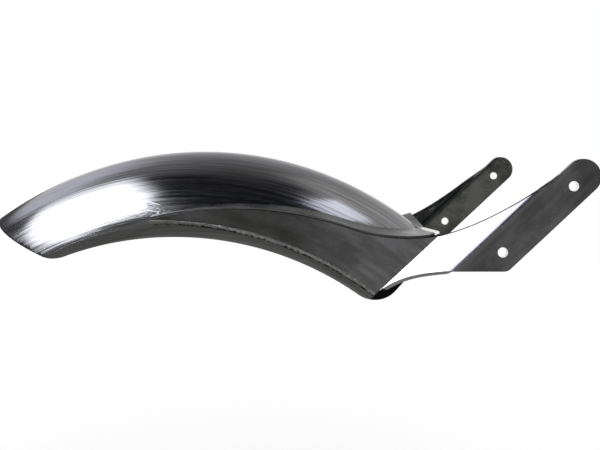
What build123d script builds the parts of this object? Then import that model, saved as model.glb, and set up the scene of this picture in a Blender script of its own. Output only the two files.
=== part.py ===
from build123d import *
from math import atan2, cos, degrees, radians, sin, sqrt
import os

os.makedirs("parts", exist_ok=True)

# Rear fender of a custom motorcycle, welded up from bare steel, in millimetres and degrees.
# +X is forward, +Y is the rider's left, +Z is up. The origin is midway between the two
# upper bolt holes, and angles about the wheel's axle are counted forward from straight up.

# Crown of the blade, an arc about the axle, placed by its front end as seen from the upper bolts
crown_radius = 366.5
crown_front_angle = 39.8
crown_front_back = 115.4
crown_front_drop = 53.9

# Domed blade, with its lower edge an arc inside the crown
section_radius = 80.0
blade_sheet = 2.0
flank_edge_inset = 60.0
flank_edge_back = 13.0
flank_edge_drop = 21.5
tail_angle = -35.8
tail_cut_slope = 22.5
tail_corner = 30.0
tongue_length = 13.1
tongue_corner = 28.0

# Strut plates, one on each flank, with angles about the centre of their lower edge
strut_sheet = 5.0
strut_edge_inset = 28.5
strut_edge_back = 26.2
strut_edge_drop = 37.4
strut_tip_angle = -1.4
strut_tip_width = 2.6
strut_mid_angle = 14.2
strut_mid_width = 22.4
strut_waist_angle = 28.5
strut_waist_width = 39.0
neck_ramp_length = 10.9
neck_ramp_slope = 16.0
neck_top_back = 114.0
neck_root_run = 15.1
neck_root_spread = 11.0
neck_crest_run = 67.3
neck_crest_spread = 10.4
neck_sole_run = 32.2
neck_sole_spread = 2.7
neck_heel_run = 17.2
neck_heel_spread = 15.6
neck_slope = 55.0
tight_bend = 2.0
tab_offset = 31.5

# Bolt tabs at the front of the struts
bolt_spacing = 86.0
bolt_hole = 9.0
bolt_slope = 43.0
tab_half_width = 15.7
tab_end_reach = 12.5
tab_foot_drop = 75.8
tab_foot_corner = 8.0
tab_back_taper = 2.0

# Top pan that closes the gap between the plates and the dome
pan_sheet = 2.0
pan_tip_rise = 26.0
pan_mid_rise = 21.0
pan_waist_rise = 14.0
pan_lip_length = 3.0
pan_lip_slope = 10.0

# Fillet welds under the plates
weld_reach = 6.0
weld_drop = 4.0
weld_bulge = 0.5

# Worked out from the sizes above
section_centre = crown_radius - section_radius
flank_edge_radius = crown_radius - flank_edge_inset
strut_edge_radius = crown_radius - strut_edge_inset
plate_outside = section_radius + strut_sheet
tab_outside = plate_outside + tab_offset
wide_bend = tight_bend + strut_sheet
bend_rise = (tight_bend + wide_bend) * (1 - cos(radians(neck_slope)))
bend_run = (tight_bend + wide_bend) * sin(radians(neck_slope))
web_length = (tab_offset - bend_rise) / sin(radians(neck_slope))
tab_start = -tab_half_width
flank_front = tab_start - bend_run - web_length * cos(radians(neck_slope))
side_reach = 2 * (crown_radius + tab_outside)


def around(centre, radius, angle):
    """Side-view point at a distance from a centre and an angle forward of straight up."""
    turn = radians(angle)
    return Vector(centre.X + radius * sin(turn), centre.Z + radius * cos(turn))


def along_bolts(along, across):
    """Side-view point along the row of bolts, upwards, and across it, forwards."""
    turn = radians(bolt_slope)
    return Vector(along * cos(turn) + across * sin(turn), along * sin(turn) - across * cos(turn))


def ray(slope, length=1):
    """Side-view step in a direction, counted upwards from straight ahead."""
    return Vector(cos(radians(slope)), sin(radians(slope))) * length


def section_plane(centre, angle):
    """Plane across the fender: x to the rider's left, y away from the centre at the angle."""
    turn = radians(angle)
    return Plane(origin=centre, x_dir=(0, 1, 0), z_dir=(cos(turn), 0, -sin(turn)))


def corner_of(sketch, point):
    """Corner of a side-view sketch nearest to a point."""
    return sketch.vertices().sort_by_distance((point.X, point.Y, 0))[0]


crown_front = Vector(-crown_front_back, 0, -crown_front_drop)
axle_side = around(crown_front, -crown_radius, crown_front_angle)
axle = Vector(axle_side.X, 0, axle_side.Y)
axle_axis = Axis(axle, (0, 1, 0))
strut_centre = axle - Vector(strut_edge_back, 0, strut_edge_drop)

# Half-round outer form of the blade, filled and turned right round the axle
with BuildPart() as dome_form:
    with BuildSketch(section_plane(axle, 180)):
        with BuildLine():
            rim = CenterArc((0, section_centre), section_radius, 0, 180)
            Polyline(rim @ 1, (-section_radius, 0), (section_radius, 0), rim @ 0)
        make_face()
    revolve(axis=axle_axis)

# Side view of the blade: tail cut, flank edge and front cut
flank_edge_centre = axle_side - Vector(flank_edge_back, flank_edge_drop)
flank_edge_top = flank_edge_centre + Vector(0, flank_edge_radius)


def to_flank_edge(point, slope):
    """Point of the flank's lower edge on a straight line from a point above it."""
    step = ray(slope)
    start = point - flank_edge_centre
    half = start.dot(step)
    return point + step * (-half - sqrt(half**2 - start.length**2 + flank_edge_radius**2))


tail_tip = around(axle, crown_radius, tail_angle)
tail_foot = to_flank_edge(tail_tip, -tail_cut_slope)
tail_out = tail_tip - ray(-tail_cut_slope, crown_radius)
tongue_top = along_bolts(0, flank_front + tongue_length)
tongue_foot = to_flank_edge(tongue_top, bolt_slope + 180)
blade_roof = crown_radius + section_radius

with BuildPart() as blade_outline:
    with BuildSketch(Plane.XZ) as blade_side:
        with BuildLine():
            Line(tail_out, tail_foot)
            ThreePointArc(tail_foot, flank_edge_top, tongue_foot)
            Line(tongue_foot, tongue_top)
            Polyline(tongue_top, (tongue_top.X, blade_roof), (tail_out.X, blade_roof), tail_out)
        make_face()
        fillet(corner_of(blade_side, tail_foot), tail_corner)
        fillet(corner_of(blade_side, tongue_foot), tongue_corner)
    extrude(amount=side_reach, both=True)

# Blade, one pressed sheet of half-round section along the wheel's arc
flank_root = section_centre - section_radius
inner_radius = section_radius - blade_sheet
with BuildPart() as fender_blade:
    with BuildSketch(section_plane(axle, 180)):
        with BuildLine():
            outer_rim = CenterArc((0, section_centre), section_radius, 0, 180)
            inner_rim = CenterArc((0, section_centre), inner_radius, 0, 180)
            Polyline(outer_rim @ 0, (section_radius, flank_root), (inner_radius, flank_root), inner_rim @ 0)
            Polyline(outer_rim @ 1, (-section_radius, flank_root), (-inner_radius, flank_root), inner_rim @ 1)
        make_face()
    revolve(axis=axle_axis)
    add(blade_outline.part, mode=Mode.INTERSECT)
fender_blade.part.label = "fender_blade"
export_step(fender_blade.part, "parts/fender_blade.step")


# Side view of a strut's flank: lower edge on the blade, upper edge under the pan
centre_along = Vector(strut_centre.X, strut_centre.Z).dot(along_bolts(1, 0))
centre_across = Vector(strut_centre.X, strut_centre.Z).dot(along_bolts(0, 1))
neck_foot_along = centre_along + sqrt(strut_edge_radius**2 - (flank_front - centre_across) ** 2)
neck_foot = along_bolts(neck_foot_along, flank_front)
neck_foot_angle = degrees(atan2(neck_foot.X - strut_centre.X, neck_foot.Y - strut_centre.Z))
edge_middle_angle = (strut_tip_angle + neck_foot_angle) / 2


def plate_top(lift):
    """Upper edge of a flank from its rear tip to the bend, raised by lift, in a line block."""
    top = strut_edge_radius + lift
    neck_top = along_bolts(-neck_top_back, flank_front) + Vector(0, lift)
    rear = ThreePointArc(
        around(strut_centre, top + strut_tip_width, strut_tip_angle),
        around(strut_centre, top + strut_mid_width, strut_mid_angle),
        around(strut_centre, top + strut_waist_width, strut_waist_angle),
    )
    dip = TangentArc(rear @ 1, neck_top - ray(neck_ramp_slope, neck_ramp_length), tangent=rear % 1)
    ramp = Line(dip @ 1, neck_top)
    return rear @ 0, ramp @ 1


# The bends, square to the row of bolts: outwards off the flank, a slanting web, forwards into the tab
bolts_run = Vector(along_bolts(1, 0).X, 0, along_bolts(1, 0).Y)
across_run = Vector(along_bolts(0, 1).X, 0, along_bolts(0, 1).Y)
inward = across_run + Vector(0, 1, 0)

with BuildLine(Plane(origin=bolts_run * -side_reach, x_dir=across_run, z_dir=bolts_run)) as bends:
    tight_turn = JernArc((flank_front, -plate_outside), (1, 0), tight_bend, -neck_slope)
    web = Line(tight_turn @ 1, tight_turn @ 1 + tight_turn % 1 * web_length)
    JernArc(web @ 1, web % 1, wide_bend, neck_slope)


def tab_foot(across):
    """Distance along the row of bolts of the tab's level lower edge, at a distance across it."""
    return (across * cos(radians(bolt_slope)) - tab_foot_drop) / sin(radians(bolt_slope))


def neck_point(along, across, outward):
    """Point of the neck seen at 45 degrees to the flank and the web, where no bend hides another."""
    return Vector(along, (across + outward) / sqrt(2))


# Neck seen at that angle, with a swept upper and lower edge
neck_heel = neck_point(tab_foot(tab_start), tab_start, tab_outside)
neck_crest = neck_point(-tab_back_taper, tab_start, tab_outside)
neck_root = neck_point(-neck_top_back, flank_front, plate_outside)
neck_sole = neck_point(neck_foot_along, flank_front, plate_outside)
root_pull = Vector(neck_root_run, neck_root_spread)
crest_pull = Vector(neck_crest_run, neck_crest_spread)
sole_pull = Vector(neck_sole_run, neck_sole_spread)
heel_pull = Vector(neck_heel_run, neck_heel_spread)
neck_margin = Vector(0, strut_sheet)

with BuildPart() as neck_outline:
    with BuildSketch(Plane(origin=(0, 0, 0), x_dir=bolts_run, z_dir=inward)):
        with BuildLine():
            Bezier(neck_root, neck_root + root_pull, neck_crest - crest_pull, neck_crest)
            Polyline(neck_crest, neck_crest + neck_margin, neck_heel + neck_margin, neck_heel)
            Bezier(neck_heel, neck_heel - heel_pull, neck_sole + sole_pull, neck_sole)
            Polyline(neck_sole, neck_sole - neck_margin, neck_root - neck_margin, neck_root)
        make_face()
    extrude(amount=side_reach, both=True)

# Strut plates, each one piece of thick sheet from the flank to the bolt tab
with BuildPart() as right_strut:
    with BuildSketch(Plane.XZ.offset(section_radius)) as flank_side:
        with BuildLine():
            tip_top, neck_top = plate_top(0)
            tip_foot = around(strut_centre, strut_edge_radius, strut_tip_angle)
            Line(neck_top, neck_foot)
            ThreePointArc(neck_foot, around(strut_centre, strut_edge_radius, edge_middle_angle), tip_foot)
            Line(tip_foot, tip_top)
        make_face()
    extrude(amount=strut_sheet)
    with BuildSketch(Plane.XZ.offset(tab_outside - strut_sheet)) as tab_side:
        with BuildLine():
            tab_back = along_bolts(tab_end_reach, -tab_half_width)
            tab_front = along_bolts(tab_end_reach, tab_half_width)
            tab_toe = along_bolts(tab_foot(tab_half_width), tab_half_width)
            tab_heel = along_bolts(tab_foot(tab_start), tab_start)
            ThreePointArc(tab_back, along_bolts(tab_end_reach + tab_half_width, 0), tab_front)
            Polyline(tab_front, tab_toe, tab_heel, tab_back)
        make_face()
        fillet(corner_of(tab_side, tab_toe), tab_foot_corner)
    extrude(amount=strut_sheet)
    for bend in bends.edges():
        bend_skin = Face.extrude(bend, bolts_run * 2 * side_reach) & neck_outline.part
        thicken(bend_skin, strut_sheet, normal_override=inward)
    with Locations(Plane.XZ.offset(tab_outside)):
        with Locations((0, 0), along_bolts(-bolt_spacing, 0)):
            Hole(bolt_hole / 2, strut_sheet)
right_strut.part.label = "right_strut"
export_step(right_strut.part, "parts/right_strut.step")

with BuildPart() as left_strut:
    mirror(right_strut.part, about=Plane.XZ)
left_strut.part.label = "left_strut"
export_step(left_strut.part, "parts/left_strut.step")


# Top pan, one sheet over both plates' upper edges and up to the dome
def pan_ridge(lift):
    """Line of the pan on the middle plane, raised by lift, in a line block."""
    top = strut_edge_radius + lift
    rear = ThreePointArc(
        around(strut_centre, top + strut_tip_width + pan_tip_rise, strut_tip_angle),
        around(strut_centre, top + strut_mid_width + pan_mid_rise, strut_mid_angle),
        around(strut_centre, top + strut_waist_width + pan_waist_rise, strut_waist_angle),
    )
    dip = TangentArc(rear @ 1, around(axle, crown_radius + lift, crown_front_angle), tangent=rear % 1)
    lip = Line(dip @ 1, dip @ 1 + ray(pan_lip_slope, pan_lip_length))
    return rear @ 0, lip @ 1


def pan_strip(plane, edge_line):
    """Section of the pan on a lengthwise plane, one sheet thick."""
    with BuildSketch(plane) as strip:
        with BuildLine():
            lower_ends = edge_line(0)
            upper_ends = edge_line(pan_sheet)
            Line(lower_ends[0], upper_ends[0])
            Line(lower_ends[1], upper_ends[1])
        make_face()
    return strip.sketch


with BuildPart() as top_pan:
    side_strips = [pan_strip(Plane.XZ.offset(place), plate_top) for place in (section_radius, -section_radius)]
    loft([side_strips[0], pan_strip(Plane.XZ, pan_ridge), side_strips[1]], ruled=True)
    for strip, outward in zip(side_strips, (1, -1)):
        extrude(strip, amount=outward * strut_sheet)
    add(dome_form.part, mode=Mode.SUBTRACT)
top_pan.part.label = "top_pan"
export_step(top_pan.part, "parts/top_pan.step")

# Fillet weld along each plate's lower edge, from its rear tip to the bend
weld_toe = Vector(weld_reach - plate_outside, strut_edge_radius - weld_drop)
weld_middle = (weld_toe + Vector(-plate_outside, strut_edge_radius)) / 2 - Vector(weld_bulge, weld_bulge)
with BuildPart() as right_weld:
    with BuildSketch(section_plane(strut_centre, strut_tip_angle)):
        with BuildLine():
            weld_face = ThreePointArc((-plate_outside, strut_edge_radius), weld_middle, weld_toe)
            weld_root = (weld_toe.X + weld_reach, strut_edge_radius)
            Polyline(weld_face @ 1, weld_face @ 1 + Vector(weld_reach, 0), weld_root, weld_face @ 0)
        make_face()
    revolve(axis=Axis(strut_centre, (0, 1, 0)), revolution_arc=neck_foot_angle - strut_tip_angle)
    add(dome_form.part, mode=Mode.SUBTRACT)
right_weld.part.label = "right_weld"
export_step(right_weld.part, "parts/right_weld.step")

with BuildPart() as left_weld:
    mirror(right_weld.part, about=Plane.XZ)
left_weld.part.label = "left_weld"
export_step(left_weld.part, "parts/left_weld.step")
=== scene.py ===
import bpy
import bmesh
from math import acos, asin, atan2, cos, degrees, hypot, pi, radians, sin, sqrt
from mathutils import Matrix, Vector, noise


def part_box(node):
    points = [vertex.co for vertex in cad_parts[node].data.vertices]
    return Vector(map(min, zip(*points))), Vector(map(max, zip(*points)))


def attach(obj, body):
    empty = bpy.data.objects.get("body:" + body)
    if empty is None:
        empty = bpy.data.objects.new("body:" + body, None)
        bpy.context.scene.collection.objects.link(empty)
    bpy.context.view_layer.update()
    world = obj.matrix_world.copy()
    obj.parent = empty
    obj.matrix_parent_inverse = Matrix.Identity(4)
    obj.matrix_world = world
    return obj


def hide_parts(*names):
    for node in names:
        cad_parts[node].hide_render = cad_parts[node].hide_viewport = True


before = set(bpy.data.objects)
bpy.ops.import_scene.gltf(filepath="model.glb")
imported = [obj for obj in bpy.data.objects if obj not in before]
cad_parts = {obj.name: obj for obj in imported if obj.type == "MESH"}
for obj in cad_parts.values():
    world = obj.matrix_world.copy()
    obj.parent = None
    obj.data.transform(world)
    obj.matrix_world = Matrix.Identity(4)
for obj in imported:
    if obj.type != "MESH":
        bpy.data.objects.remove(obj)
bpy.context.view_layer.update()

# Fender blade. One pressed sheet of bare steel, half-round in section and rolled along the
# wheel's arc, with a straight tail cut and a rounded tongue in front. Its outside was
# ground and brushed lengthwise, which leaves fine streaks along the arc.
axle = Vector((-0.34999, 0.0, -0.33548))
crown_radius = 0.3665
section_radius = 0.080
section_centre = crown_radius - section_radius
quarter_run = section_radius * pi / 2
blade_sheet = 0.002
flank_edge_centre = axle + Vector((-0.0130, 0.0, -0.0215))
flank_edge_radius = 0.3065
tail_angle = radians(-35.8)
tail_slope = radians(22.5)
tail_corner = 0.030
bolt_slope = radians(43)
up_bolts = Vector((cos(bolt_slope), 0, sin(bolt_slope)))
fore_bolts = Vector((sin(bolt_slope), 0, -cos(bolt_slope)))
tongue_front = -0.0293
tongue_corner = 0.028
same_place = 1e-6


def on_section(turn, run):
    """Point of the blade's outside at an angle about the axle and a run down from the crown."""
    tilt = max(-quarter_run, min(quarter_run, run)) / section_radius
    drop = max(abs(run) - quarter_run, 0)
    out = section_centre + section_radius * cos(tilt) - drop
    return axle + Vector((out * sin(turn), section_radius * sin(tilt), out * cos(turn)))


def flank_run(turn):
    """Run from the crown down to the flank's lower edge at an angle about the axle."""
    way = Vector((sin(turn), 0, cos(turn)))
    off = axle - flank_edge_centre
    half = off.dot(way)
    out = -half + sqrt(half**2 - off.length_squared + flank_edge_radius**2)
    above = out - section_centre
    if above > 0:
        return section_radius * acos(above / section_radius)
    return quarter_run - above


blade_start, blade_end = radians(-38), radians(50)
section_steps, arc_steps = 72, 176
blade_shape = bmesh.new()
keel = blade_shape.verts.new(on_section(blade_start, quarter_run))
way_up = Vector((sin(blade_start), 0, cos(blade_start)))
way_along = Vector((cos(blade_start), 0, -sin(blade_start)))
bmesh.ops.spin(blade_shape, geom=[keel], cent=axle + way_up * section_centre, axis=way_along,
               angle=pi, steps=section_steps, use_merge=False)
bmesh.ops.spin(blade_shape, geom=blade_shape.verts[:] + blade_shape.edges[:], cent=axle,
               axis=(0, 1, 0), angle=blade_end - blade_start, steps=arc_steps, use_merge=False)
for vert in blade_shape.verts:
    arm = vert.co - axle
    turn = atan2(arm.x, arm.z)
    tilt = atan2(arm.y, hypot(arm.x, arm.z) - section_centre)
    vert.co = on_section(turn, flank_run(turn) * tilt / (pi / 2))


def trim(shape, faces, point, outward):
    """Cuts faces on a plane and throws away the side that outward points to."""
    geom = {part for face in faces for part in (face, *face.edges, *face.verts)}
    bmesh.ops.bisect_plane(shape, geom=list(geom), dist=same_place, plane_co=point,
                           plane_no=outward, clear_outer=True)


def trim_corner(shape, point, outward, along, radius, cuts=16):
    """Cuts a shape along a line and rounds the corner that it makes with the flank's edge."""
    start = point - outward * radius - flank_edge_centre
    half = start.dot(along)
    step = -half + sqrt(half**2 - start.length_squared + (flank_edge_radius + radius) ** 2)
    centre = point - outward * radius + along * step
    downward = (flank_edge_centre - centre).normalized()
    between = (outward + downward).normalized()
    sector = outward.angle(downward) / 2

    def in_corner(vert):
        return ((vert.co - centre) * Vector((1, 0, 1))).angle(between, pi) < sector

    trim(shape, shape.faces[:], point, outward)
    for cut in range(1, cuts):
        side = outward.slerp(downward, cut / cuts)
        corner = [face for face in shape.faces if any(in_corner(vert) for vert in face.verts)]
        trim(shape, corner, centre + side * radius, side)


tail_tip = axle + crown_radius * Vector((sin(tail_angle), 0, cos(tail_angle)))
tail_along = Vector((cos(tail_slope), 0, -sin(tail_slope)))
tail_out = Vector((-sin(tail_slope), 0, -cos(tail_slope)))
trim_corner(blade_shape, tail_tip, tail_out, -tail_along, tail_corner)
trim_corner(blade_shape, fore_bolts * tongue_front, fore_bolts, up_bolts, tongue_corner)
bmesh.ops.remove_doubles(blade_shape, verts=blade_shape.verts, dist=same_place)
bmesh.ops.recalc_face_normals(blade_shape, faces=blade_shape.faces)


def make_piece(name, shape, node, sharp):
    """Turns a shape into a piece that stands for a CAD node, smooth up to a sharp angle."""
    mesh = bpy.data.meshes.new(name)
    for face in shape.faces:
        face.smooth = True
    shape.to_mesh(mesh)
    shape.free()
    mesh.set_sharp_from_angle(angle=radians(sharp))
    piece = bpy.data.objects.new(name, mesh)
    bpy.context.scene.collection.objects.link(piece)
    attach(piece, "root")
    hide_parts(node)
    return piece


blade = make_piece("blade", blade_shape, "fender_blade", 60)
wall = blade.modifiers.new("sheet", "SOLIDIFY")
wall.thickness = blade_sheet
wall.offset = -1
rim = blade.modifiers.new("deburred rim", "BEVEL")
rim.width = 0.0004
rim.segments = 2
rim.limit_method = "ANGLE"
rim.angle_limit = radians(55)


class Tone:
    """One value on its way through a finish's nodes, which can be written in sums."""

    def __init__(self, tree, socket=None):
        self.tree, self.socket = tree, socket

    def node(self, kind, settings=None, inputs=None, out=0):
        """Adds a node with its settings and its inputs' values or links, and gives one output."""
        made = self.tree.nodes.new("ShaderNode" + kind)
        for name, value in (settings or {}).items():
            if name == "stops":
                ramp = made.color_ramp.elements
                for place, _ in value[2:]:
                    ramp.new(place)
                for stop, (place, colour) in zip(ramp, value):
                    stop.position = place
                    stop.color = (*colour, 1)
            else:
                setattr(made, name, value)
        for name, value in (inputs or {}).items():
            if isinstance(value, Tone):
                self.tree.links.new(value.socket, made.inputs[name])
            else:
                made.inputs[name].default_value = value
        return Tone(self.tree, made.outputs[out] if made.outputs else None)

    def maths(self, operation, *values):
        return self.node("Math", {"operation": operation}, dict(enumerate(values)))

    def __add__(self, other):
        return self.maths("ADD", self, other)

    def __radd__(self, other):
        return self.maths("ADD", other, self)

    def __sub__(self, other):
        return self.maths("SUBTRACT", self, other)

    def __rsub__(self, other):
        return self.maths("SUBTRACT", other, self)

    def __mul__(self, other):
        return self.maths("MULTIPLY", self, other)

    def __rmul__(self, other):
        return self.maths("MULTIPLY", other, self)

    def __truediv__(self, other):
        return self.maths("DIVIDE", self, other)

    def __rtruediv__(self, other):
        return self.maths("DIVIDE", other, self)

    def between(self, low, high, start=0.0, end=1.0):
        """Eases from start to end as this value goes from low to high."""
        return self.node("MapRange", {"interpolation_type": "SMOOTHSTEP"},
                         {0: self, 1: low, 2: high, 3: start, 4: end})

    def grain(self, x, y, z, detail=2.0, roughness=0.5):
        """Cloudy noise at a point that is already in the grain's own scale."""
        point = self.node("CombineXYZ", None, {0: x, 1: y, 2: z})
        return self.node("TexNoise", None, {"Vector": point, "Scale": 1.0,
                                            "Detail": detail, "Roughness": roughness})

    def blend(self, first, second):
        """Mixes two colours by this value."""
        return self.node("Mix", {"data_type": "RGBA"}, {0: self, 6: first, 7: second}, out=2)

    def bumps(self, distance, normal=None):
        """Turns this height into a normal, on top of another one if there is one."""
        inputs = {"Height": self, "Distance": distance, "Strength": 1.0}
        if normal:
            inputs["Normal"] = normal
        return self.node("Bump", None, inputs)


def object_coords(start):
    """The object coordinates x, y and z in metres."""
    coords = start.node("TexCoord", None, None, out=3)
    split = start.node("SeparateXYZ", None, {0: coords}).socket.node
    return [Tone(start.tree, split.outputs[axis]) for axis in range(3)]


def new_finish(name):
    """A bare metal finish, its shader, and the object coordinates."""
    material = bpy.data.materials.new(name)
    material.use_nodes = True
    shader = material.node_tree.nodes["Principled BSDF"]
    shader.inputs["Metallic"].default_value = 1.0
    return material, shader, object_coords(Tone(material.node_tree))


def feed(shader, **tones):
    """Links tones to a shader's inputs by name."""
    for name, tone in tones.items():
        tone.tree.links.new(tone.socket, shader.inputs[name.replace("_", " ")])


def span(first, second):
    """Length of a straight line from its runs in two directions."""
    return first.maths("SQRT", first * first + second * second)


def along_blade(x, y, z):
    """Lengths on the blade: forward along the crown's arc, and across the section."""
    arm_x, arm_z = x - axle.x, z - axle.z
    forward = x.maths("ARCTAN2", arm_x, arm_z) * crown_radius
    across = x.maths("ARCTAN2", y, span(arm_x, arm_z) - section_centre) * section_radius
    return forward, across


def before_bolts(x, z):
    """Length forward of the row of bolts, square to it."""
    return x * fore_bolts.x + z * fore_bolts.z


brushed, shader, (x, y, z) = new_finish("brushed_blade")
forward, across = along_blade(x, y, z)


def streaks(length, width, seed, detail=2.0):
    """Brushed streaks along the arc, of about a length and a width."""
    return x.grain(forward / length, across / width, seed, detail)


fine = streaks(0.060, 0.0006, 0.0)
broad = streaks(0.120, 0.0026, 4.0, 3.0)
haze = streaks(0.090, 0.030, 9.0)
ridge = streaks(0.070, 0.0060, 6.0) * forward.between(-0.195, -0.150, 1.0, 0.2)
dull_streak = (0.36, 0.36, 0.37, 1)
bright_streak = (0.62, 0.618, 0.65, 1)
bare = (fine * 0.5 + broad * 0.5).between(0.36, 0.64).blend(dull_streak, bright_streak)

# The grinder slipped off the struts' tips and left marks in two directions
tip_x, tip_z = -0.3845, -0.0290
spot_x, spot_z = tip_x + 0.0020, tip_z + 0.0035
to_spot = span(x - spot_x, (z - spot_z) * 1.6) + haze * 0.010
ground = to_spot.between(0.010, 0.022, 1.0, 0.0)
worked = to_spot.between(0.005, 0.013, 0.10, 0.0)
# The marks are real, but their near-white colour is partly a painted glint, brighter than ground steel
ground_steel_glint = (0.92, 0.92, 0.94, 1)


def grinder_marks(turn, seed):
    """Thin straight marks in one direction, closer together where the grinder stayed."""
    along, off = x * cos(turn) + z * sin(turn), z * cos(turn) - x * sin(turn)
    return (x.grain(along / 0.020, off / 0.0022, seed, 0.0) + worked).between(0.60, 0.66)


scratch = ground * x.maths("MAXIMUM", grinder_marks(radians(32), 3.0),
                           grinder_marks(radians(-14), 7.0))
# Painted shade: the tongue ahead of the flank's fold line is near black, as if in shade under the
# strut's web
tongue_shade_mask = before_bolts(x, z).between(-0.0415, -0.0395)
painted_tongue_shade = (0.03, 0.03, 0.032, 1)
brushed_gloss = broad.between(0.3, 0.7, 0.08, 0.15) + haze.between(0.35, 0.65, 0.0, 0.04)
brushed_relief = ridge.bumps(0.00040, broad.bumps(0.00014, fine.bumps(0.000014)))
feed(shader,
     Base_Color=tongue_shade_mask.blend(scratch.blend(bare, ground_steel_glint), painted_tongue_shade),
     Roughness=brushed_gloss + scratch * 0.15,
     Normal=scratch.bumps(0.00025, brushed_relief))
blade.data.materials.append(brushed)

# Struts. Each is one piece of thick hot-rolled plate, cut out, bent outwards off the flank and
# back again into a flat tab with two bolt holes. The flats keep their dull mill skin, the web
# between the bends was ground bright, and the sawn edges were filed.
strut_sheet = 0.005
plate_outside = section_radius + strut_sheet
edge_centre = axle - Vector((0.0262, 0, 0.0374))
edge_radius = 0.338
bolt_spacing = 0.086
bolt_row = (Vector((0, 0, 0)), up_bolts * -bolt_spacing)
bolt_wall = 0.0052
web_back, web_front = -0.0424, -0.0187
crest_front = -0.0160
crest_bevel = 0.0024


def cad_shape(node):
    """Copy of a CAD node's mesh with its loose triangles joined up."""
    shape = bmesh.new()
    shape.from_mesh(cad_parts[node].data)
    bmesh.ops.remove_doubles(shape, verts=shape.verts, dist=same_place)
    bmesh.ops.dissolve_limit(shape, angle_limit=radians(0.3), verts=shape.verts, edges=shape.edges)
    return shape


mill_skin, shader, (x, y, z) = new_finish("mill_skin")
fore = before_bolts(x, z)
on_tab = fore.between(-0.040, -0.030)
arm_x, arm_z = x - edge_centre.x, z - edge_centre.z
arc = x.maths("ARCTAN2", arm_x, arm_z) * edge_radius
lengthwise = arc * (1 - on_tab) + (x * up_bolts.x + z * up_bolts.z) * on_tab
crosswise = span(arm_x, arm_z) * (1 - on_tab) + fore * on_tab
cloud = x.grain(lengthwise / 0.040, y / 0.026, crosswise / 0.018, 5.0, 0.60)
smear = x.grain(lengthwise / 0.080, y / 0.012, crosswise / 0.008, 3.0)
fleck = x.grain(x / 0.0016, y / 0.0016, z / 0.0016, 2.0, 0.6)
# Painted sheen: a lit, lavender copy of the skin, lighter at the rear tip, towards the front of the
# flank and across the tab's middle
flank_sheen = x.between(-0.29, -0.16) + x.between(-0.36, -0.31, 0.30, 0.0)
tab_sheen = x.between(-0.080, -0.030, 0.40, 0.85) * x.between(-0.010, 0.014, 1.0, 0.40)
sheen_share = flank_sheen * (1 - on_tab) + tab_sheen * on_tab
# Painted sheen: the tab is paler and lighter next to the bend
bend_sheen = on_tab * fore.between(-0.0190, -0.0120, 0.75, 0.0)
tone = (cloud * 0.6 + smear * 0.3 + fleck * 0.1).between(0.38, 0.62)
dark_skin = tone.blend((0.16, 0.16, 0.16, 1), (0.31, 0.31, 0.32, 1))
sheened_skin = tone.blend((0.46, 0.46, 0.49, 1), (0.80, 0.79, 0.88, 1))
bend_sheen_tint = (0.95, 0.93, 1.0, 1)
feed(shader,
     Base_Color=bend_sheen.blend(sheen_share.blend(dark_skin, sheened_skin), bend_sheen_tint),
     Roughness=cloud.between(0.3, 0.7, 0.13, 0.20) + smear.between(0.4, 0.7, 0.0, 0.05),
     Normal=smear.bumps(0.00008, fleck.bumps(0.000003)))

filed_edge, shader, (x, y, z) = new_finish("filed_edge")
file_marks = x.grain(x / 0.0012, y / 0.010, z / 0.0012, 2.0)
feed(shader,
     Base_Color=file_marks.between(0.3, 0.7).blend((0.60, 0.60, 0.605, 1), (0.88, 0.88, 0.89, 1)),
     Roughness=file_marks.between(0.3, 0.7, 0.24, 0.36),
     Normal=file_marks.bumps(0.00004))

bright_bend, shader, (x, y, z) = new_finish("bright_bend")
rub = x.grain((x + z) / 0.080, y / 0.003, (x - z) / 0.003, 2.0)
bright_steel = rub.between(0.25, 0.75).blend((0.90, 0.90, 0.91, 1), (0.96, 0.96, 0.97, 1))
at_tab = before_bolts(x, z).between(-0.0246, -0.0184)
feed(shader,
     Base_Color=at_tab.blend(bright_steel, (0.25, 0.24, 0.31, 1)),
     Roughness=rub.between(0.3, 0.7, 0.12, 0.20),
     Normal=rub.bumps(0.00003))

# Painted shade: a near-black finish on the inner faces along the web's crest and on the broken edges,
# which draws them as dark lines
edge_shade, shader, (x, y, z) = new_finish("edge_shade")
scale = x.grain(x / 0.003, y / 0.003, z / 0.003, 2.0)
feed(shader,
     Base_Color=scale.between(0.3, 0.7).blend((0.07, 0.07, 0.075, 1), (0.15, 0.15, 0.16, 1)),
     Roughness=scale.between(0.3, 0.7, 0.30, 0.42),
     Normal=scale.bumps(0.00002))

inner_skin, shader, (x, y, z) = new_finish("inner_skin")
bloom = x.grain(x / 0.030, y / 0.030, z / 0.022, 4.0, 0.6)
spots = bloom.between(0.35, 0.65)
# Painted shade: the web's inner face inside the bends is near black, while the tab's inner face keeps
# a lighter skin
shaded_inner_web = spots.blend((0.08, 0.10, 0.10, 1), (0.15, 0.18, 0.175, 1))
inner_tab = spots.blend((0.27, 0.27, 0.26, 1), (0.66, 0.655, 0.63, 1))
feed(shader,
     Base_Color=before_bolts(x, z).between(-0.0150, -0.0095).blend(shaded_inner_web, inner_tab),
     Roughness=bloom.between(0.3, 0.7, 0.09, 0.15),
     Normal=bloom.bumps(0.00010))

# Painted light: the bores' walls are plain white, not steel, so that the holes look as bright as the
# white light through them
white_bore, shader, _ = new_finish("bore_painted_white")
shader.inputs["Base Color"].default_value = (0.97, 0.97, 0.98, 1)
shader.inputs["Roughness"].default_value = 0.5
shader.inputs["Metallic"].default_value = 0.0

strut_finishes = [mill_skin, filed_edge, bright_bend, edge_shade, inner_skin, white_bore]


def near_bolt(place):
    """Whether a place lies on the wall of a bolt hole."""
    return any((place * Vector((1, 0, 1)) - bolt).length < bolt_wall for bolt in bolt_row)


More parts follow.
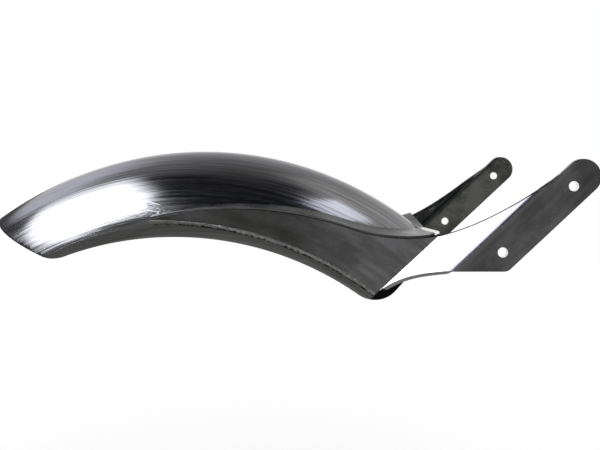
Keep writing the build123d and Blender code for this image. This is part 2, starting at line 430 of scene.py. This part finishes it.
def strut_finish(lean, place):
    """Finish of a strut's face, by the way it leans and its place."""
    inward = lean.y * place.y < 0
    back_lean, fore = -lean.dot(fore_bolts), place.dot(fore_bolts)
    if inward and back_lean > 0.1 and web_back < fore < crest_front:
        return edge_shade
    if abs(lean.y) < 0.05 or abs(lean.dot(up_bolts)) > 0.3:
        return white_bore if near_bolt(place) else filed_edge
    if inward:
        return inner_skin
    off_flank = abs(place.y) > plate_outside + 0.0002
    return bright_bend if off_flank and back_lean > 0.02 and fore < web_front else mill_skin


def edge_share(edge):
    """Share of the bevel: all on the web's crest, none in the holes, least on the web's foot."""
    place = edge.verts[0].co
    if near_bolt(place):
        return 0.0
    if any(strut_finishes[face.material_index] == edge_shade for face in edge.link_faces):
        return 1.0
    return 0.10 if web_back < place.dot(fore_bolts) < web_front else 0.30


def break_edges(shape, share):
    """Marks a shape's sharp edges for the bevel, each with its share of the bevel's width."""
    weight = shape.edges.layers.float.new("bevel_weight_edge")
    for edge in shape.edges:
        if len(edge.link_faces) == 2 and edge.calc_face_angle() > radians(40):
            edge[weight] = share(edge)


def bevel_edges(piece, width, finish):
    """Breaks a piece's marked edges, with one of its finishes, and keeps its flat faces flat."""
    corner = piece.modifiers.new("broken edge", "BEVEL")
    corner.width = width
    corner.segments = 2
    corner.limit_method = "WEIGHT"
    corner.use_clamp_overlap = False
    corner.harden_normals = True
    corner.material = piece.data.materials.find(finish.name)
    even = piece.modifiers.new("flat faces", "WEIGHTED_NORMAL")
    even.keep_sharp = True


for side in ("right", "left"):
    strut_shape = cad_shape(side + "_strut")
    whole = strut_shape.verts[:] + strut_shape.edges[:] + strut_shape.faces[:]
    bmesh.ops.bisect_plane(strut_shape, geom=whole, dist=same_place,
                           plane_co=fore_bolts * web_front, plane_no=fore_bolts)
    for face in strut_shape.faces:
        finish = strut_finish(face.normal, face.calc_center_median())
        face.material_index = strut_finishes.index(finish)
    break_edges(strut_shape, edge_share)
    strut = make_piece(side + "_strut_plate", strut_shape, side + "_strut", 30)
    for finish in strut_finishes:
        strut.data.materials.append(finish)
    bevel_edges(strut, crest_bevel, edge_shade)

# Top pan. One thin sheet laid over both plates' upper edges and fitted up to the dome, welded
# all round and ground flush, so the grinder's lines run lengthwise over it. Its far front is
# painted near black as shade. Its front edge was cut bright, and a thin white line along the
# near half of its top is a painted highlight of that edge.
pan_bevel = 0.0003
ground_pan, shader, (x, y, z) = new_finish("ground_pan")
forward, _ = along_blade(x, y, z)
lines = x.grain(forward / 0.030, y / 0.0009, 2.0, 2.0)
patch = x.grain(x / 0.030, y / 0.018, z / 0.030, 3.0)
# Painted shade: the far front of the pan is near black
far_front_shade = y.between(-0.004, 0.040) * x.between(-0.19, -0.15)
# Painted highlight: a thin white, non-metal line across the front of the top, on its near half
lip_highlight = x.between(-0.1170, -0.1164) * y.between(-0.004, 0.002, 1.0, 0.0)
ground_tone = (lines * 0.5 + patch * 0.5).between(0.3, 0.7)
rear_sheet = ground_tone.blend((0.42, 0.42, 0.425, 1), (0.60, 0.60, 0.61, 1))
front_sheet = ground_tone.blend((0.20, 0.20, 0.20, 1), (0.32, 0.32, 0.32, 1))
sheet_tone = x.between(-0.21, -0.15).blend(rear_sheet, front_sheet)
painted_far_shade = (0.055, 0.06, 0.055, 1)
painted_lip_highlight = (0.97, 0.97, 0.95, 1)
feed(shader,
     Base_Color=lip_highlight.blend(far_front_shade.blend(sheet_tone, painted_far_shade), painted_lip_highlight),
     Roughness=patch.between(0.3, 0.7, 0.22, 0.34),
     Metallic=1 - lip_highlight,
     Normal=lines.bumps(0.00004))


def faces_front(face):
    """Whether a face of the pan belongs to its cut front edge."""
    return face.normal.x > 0.5


pan_finishes = [ground_pan, bright_bend]
pan_shape = cad_shape("top_pan")
for face in pan_shape.faces:
    face.material_index = pan_finishes.index(bright_bend if faces_front(face) else ground_pan)
break_edges(pan_shape, lambda edge: 0.0 if any(map(faces_front, edge.link_faces)) else 1.0)
pan = make_piece("pan", pan_shape, "top_pan", 30)
for finish in pan_finishes:
    pan.data.materials.append(finish)
bevel_edges(pan, pan_bevel, ground_pan)

# Fillet welds. A hand-laid bead under each plate's lower edge, smooth and full where it was
# started and in overlapping ripples after that, with a ragged near-black line along its toe
# that is soot and painted shade of the undercut, and a straw heat tint near its start.
bead_profile = ((0.0003, 0.0009), (0.0007, 0.0001), (0.0001, -0.0012), (-0.0009, -0.0023),
                (-0.0024, -0.0031), (-0.0053, -0.0040), (-0.0055, 0.0008), (-0.0020, 0.0010))
bead_root = -0.0050
bead_heart = plate_outside - 0.0025
bead_start = radians(-1.4)
bead_end = asin((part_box("right_weld")[1][0] - edge_centre.x) / edge_radius)
bead_steps = 420
ripple_length, ripple_height = 0.0056, 0.00014
ripple_middle, ripple_bow = -0.002, 15000
wave_length, wave_height = 0.011, 0.00040
lump_length, lump_height = 0.003, 0.00035
start_length, start_height = 0.040, 0.0009
smooth_length, smooth_share = 0.075, 0.2

bead_steel, shader, (x, y, z) = new_finish("bead_steel")
drop = edge_radius - span(x - edge_centre.x, z - edge_centre.z)
soot = x.grain(x / 0.004, y / 0.004, z / 0.004, 3.0)
spatter = x.grain(x / 0.0012, y / 0.0012, z / 0.0012, 2.0)
ragged = x.grain(x / 0.0035, y / 0.02, z / 0.0035, 2.0)
start_lift = x.between(tip_x, tip_x + 0.035, 0.0010, 0.0)
# Soot and painted shade: a ragged near-black line along the toe, where the undercut is
toe = (drop + ragged * 0.0070 - start_lift).between(0.0056, 0.0064)
heated = x.between(tip_x + 0.005, tip_x + 0.010) * x.between(tip_x + 0.014, tip_x + 0.030, 0.8, 0.0)
straw = heated * soot.between(0.35, 0.60)
metal = soot.between(0.3, 0.7).blend((0.50, 0.50, 0.49, 1), (0.80, 0.80, 0.78, 1))
straw_tint = (0.62, 0.58, 0.30, 1)
undercut = (0.02, 0.02, 0.018, 1)
feed(shader,
     Base_Color=toe.blend(straw.blend(metal, straw_tint), undercut),
     Roughness=toe.between(0.0, 1.0, 0.30, 0.60) + spatter.between(0.3, 0.7, 0.0, 0.08),
     Metallic=x.between(-0.36, -0.29, 1.0, 0.90),
     Normal=spatter.bumps(0.00004))


def on_edge(turn, reach, across):
    """Point at an angle and a reach from the centre of the plates' lower edge."""
    return edge_centre + Vector((reach * sin(turn), across, reach * cos(turn)))


def bead_swell(run, outward, hand):
    """Height of the bead's ripples and lumps at a run along the edge and a reach off the plate."""
    laid = run - bead_start * edge_radius
    bow = ripple_bow * (outward - ripple_middle) ** 2
    ripple = (abs(sin(pi * (run / ripple_length + bow))) - 0.5) * ripple_height
    wave = noise.noise((run / wave_length, hand, 0.0)) * wave_height
    lump = noise.noise((run / lump_length, hand, 5.0)) * lump_height
    settled = min(1, smooth_share + laid / smooth_length)
    return (ripple + wave + lump) * settled + start_height * max(0, 1 - laid / start_length)


for side, hand in (("right", -1), ("left", 1)):
    bead_shape = bmesh.new()
    ring = [bead_shape.verts.new(on_edge(bead_start, edge_radius + rise, hand * (plate_outside + out)))
            for out, rise in bead_profile]
    seam = [bead_shape.edges.new((ring[i - 1], ring[i])) for i in range(len(ring))]
    bmesh.ops.spin(bead_shape, geom=ring + seam, cent=edge_centre, axis=(0, 1, 0),
                   angle=bead_end - bead_start, steps=bead_steps, use_merge=False)
    ends = [edge for edge in bead_shape.edges if edge.is_boundary]
    bmesh.ops.holes_fill(bead_shape, edges=ends)
    bmesh.ops.recalc_face_normals(bead_shape, faces=bead_shape.faces)
    for vert in bead_shape.verts:
        arm = vert.co - edge_centre
        turn = atan2(arm.x, arm.z)
        outward = abs(vert.co.y) - plate_outside
        if outward > bead_root:
            heart = on_edge(turn, edge_radius, hand * bead_heart)
            swell = bead_swell(turn * edge_radius, outward, hand)
            vert.co += (vert.co - heart).normalized() * swell
    bead = make_piece(side + "_bead", bead_shape, side + "_weld", 50)
    bead.data.materials.append(bead_steel)

# Studio. A pale floor well below the part, which hangs as it does on a motorcycle, white light
# from all round and one soft lamp high on the right. The metal mirrors a dim room with lit
# walls and a bright panel on the left, which the camera doesn't see.
room_reach = 40.0


def stage_piece(name, shape):
    """Turns a shape into a piece of the stage."""
    mesh = bpy.data.meshes.new(name)
    shape.to_mesh(mesh)
    shape.free()
    stand = bpy.data.objects.new(name, mesh)
    bpy.context.scene.collection.objects.link(stand)
    return stand


def stage_finish(name):
    """An empty material for the stage, and a tone to start from."""
    material = bpy.data.materials.new(name)
    material.use_nodes = True
    material.node_tree.nodes.clear()
    return material, Tone(material.node_tree)


floor_shape = bmesh.new()
bmesh.ops.create_grid(floor_shape, x_segments=1, y_segments=1, size=3.0,
                      matrix=Matrix.Translation((-0.25, 2.25, -0.45)))
floor = stage_piece("floor", floor_shape)
floor.visible_glossy = False
paper, start = stage_finish("pale_floor")
white = start.node("BsdfDiffuse", None, {"Color": (1, 1, 1, 1)})
start.node("OutputMaterial", None, {"Surface": white})
floor.data.materials.append(paper)

room_shape = bmesh.new()
bmesh.ops.create_uvsphere(room_shape, u_segments=64, v_segments=32, radius=room_reach)
room = stage_piece("room", room_shape)
room.visible_camera = False
room.visible_diffuse = False
room.visible_shadow = False
walls, start = stage_finish("dim_room")
x, y, z = (coord / room_reach for coord in object_coords(start))
height = x.maths("ARCSINE", z) * degrees(1)
bearing = x.maths("ARCTAN2", x, 0 - y) * degrees(1)


def toward(turn, rise):
    """Direction at a bearing off the camera's side, counted to the right, and a height angle."""
    turn, rise = radians(turn), radians(rise)
    return Vector((sin(turn) * cos(rise), -cos(turn) * cos(rise), sin(rise)))


def inside(first, second, soft):
    """Eases from 0 to 1 over a straight edge through two directions, to the left of their way."""
    side = toward(*first).cross(toward(*second)).normalized()
    return (x * side.x + y * side.y + z * side.z).between(-soft, soft)


def grey(level):
    """A grey without a tint."""
    return (level, level, level)


# Tones of the walls from 30 degrees below level up to straight overhead
night = (0.012, 0.013, 0.017)
front_tones = [(0.0, (0.18, 0.18, 0.17)), (0.12, (0.15, 0.15, 0.14)), (0.20, (0.12, 0.12, 0.112)),
               (0.31, (0.115, 0.115, 0.108)), (0.45, grey(0.055)), (0.56, night), (0.85, night),
               (1.0, grey(0.05))]
rear_tones = [(0.0, grey(0.30)), (0.15, grey(0.80)), (0.24, grey(1.2)), (0.28, grey(1.2)),
              (0.375, grey(0.62)), (0.5, grey(0.38)), (0.625, grey(0.25)), (0.75, grey(0.17)),
              (0.875, grey(0.11)), (1.0, grey(0.06))]
climb = (height + 30) / 120
front = start.node("ValToRGB", {"stops": front_tones}, {0: climb})
rear = start.node("ValToRGB", {"stops": rear_tones}, {0: climb})
behind = (y / (span(x, y) + 0.0001)).between(-0.45, 0.65)

below_top = inside((-33, 48.5), (-90, 60.5), 0.07)
above_foot = inside((-96, 36.5), (-38, 13), 0.03) * inside((-34, 11), (-24.5, 27), 0.035)
left_wall = bearing.between(-157, -134) * bearing.between(-118, -95, 1.0, 0.0)
lit_wall = left_wall * height.between(12, 30) * height.between(34, 56, 1.0, 0.0)
left_front = bearing.between(-42, -30, 1.0, 0.0)
dark_foot = left_front * inside((-98, 32), (-144, 10), 0.045) * (1 - above_foot)
right_wall = bearing.between(45, 75) * bearing.between(135, 170, 1.0, 0.0)
right_glow = right_wall * height.between(26, 42) * height.between(60, 76, 1.0, 0.0) * 0.75
right_corner = bearing.between(112, 132) * bearing.between(150, 178, 1.0, 0.0)
right_foot = right_corner * height.between(6, 24, 1.0, 0.0) * 0.7
panel = below_top * above_foot * inside((-23, 22), (-32.5, 44), 0.03) * bearing.between(-114, -78)

walls_tone = behind.blend(front, rear)
for share, colour in ((lit_wall, (0.73, 0.725, 0.83, 1)), (dark_foot, (0.07, 0.07, 0.075, 1)),
                      (right_glow, (0.46, 0.45, 0.44, 1)), (right_foot, (0.14, 0.14, 0.14, 1)),
                      (panel, (2.6, 2.63, 2.75, 1))):
    walls_tone = share.blend(walls_tone, colour)
glow = start.node("Emission", None, {"Color": walls_tone, "Strength": 1.0})
start.node("OutputMaterial", None, {"Surface": glow})
walls.cycles.emission_sampling = "NONE"
room.data.materials.append(walls)

world = bpy.data.worlds.new("studio")
bpy.context.scene.world = world
world.use_nodes = True
world.node_tree.nodes.clear()
start = Tone(world.node_tree)
daylight = start.node("Background", None, {"Color": (1, 1, 1, 1), "Strength": 1.0})
start.node("OutputWorld", None, {"Surface": daylight})

part_middle = Vector((-0.27, 0.0, -0.04))
lamp_way = toward(69, 57)
lamp_distance = 1.6
lamp_width, lamp_depth = 0.84, 0.40
lamp_brightness = 1.05
lamp = bpy.data.lights.new("high_right", "AREA")
lamp.shape = "RECTANGLE"
lamp.size = lamp_width
lamp.size_y = lamp_depth
lamp.energy = lamp_brightness * pi * lamp_width * lamp_depth
lamp.color = (0.84, 0.87, 1.0)
holder = bpy.data.objects.new("high_right", lamp)
holder.location = part_middle + lamp_way * lamp_distance
holder.rotation_mode = "QUATERNION"
holder.rotation_quaternion = lamp_way.to_track_quat("Z", "Y")
holder.visible_camera = False
bpy.context.scene.collection.objects.link(holder)

# Camera. A wide lens close to the part's right side, a little above the tabs. It looks level
# and square to the part, and its shift places the part in the picture.
lens = bpy.data.cameras.new("camera")
lens.lens = 33.48
lens.sensor_width = 36
lens.shift_x = -0.0325
lens.shift_y = -0.1197
lens.clip_start = 0.01
camera = bpy.data.objects.new("camera", lens)
camera.location = (-0.2251, -0.610, 0.0292)
camera.rotation_euler = (radians(90), 0, 0)
bpy.context.scene.collection.objects.link(camera)
bpy.context.scene.camera = camera
bpy.context.scene.view_settings.view_transform = "Standard"
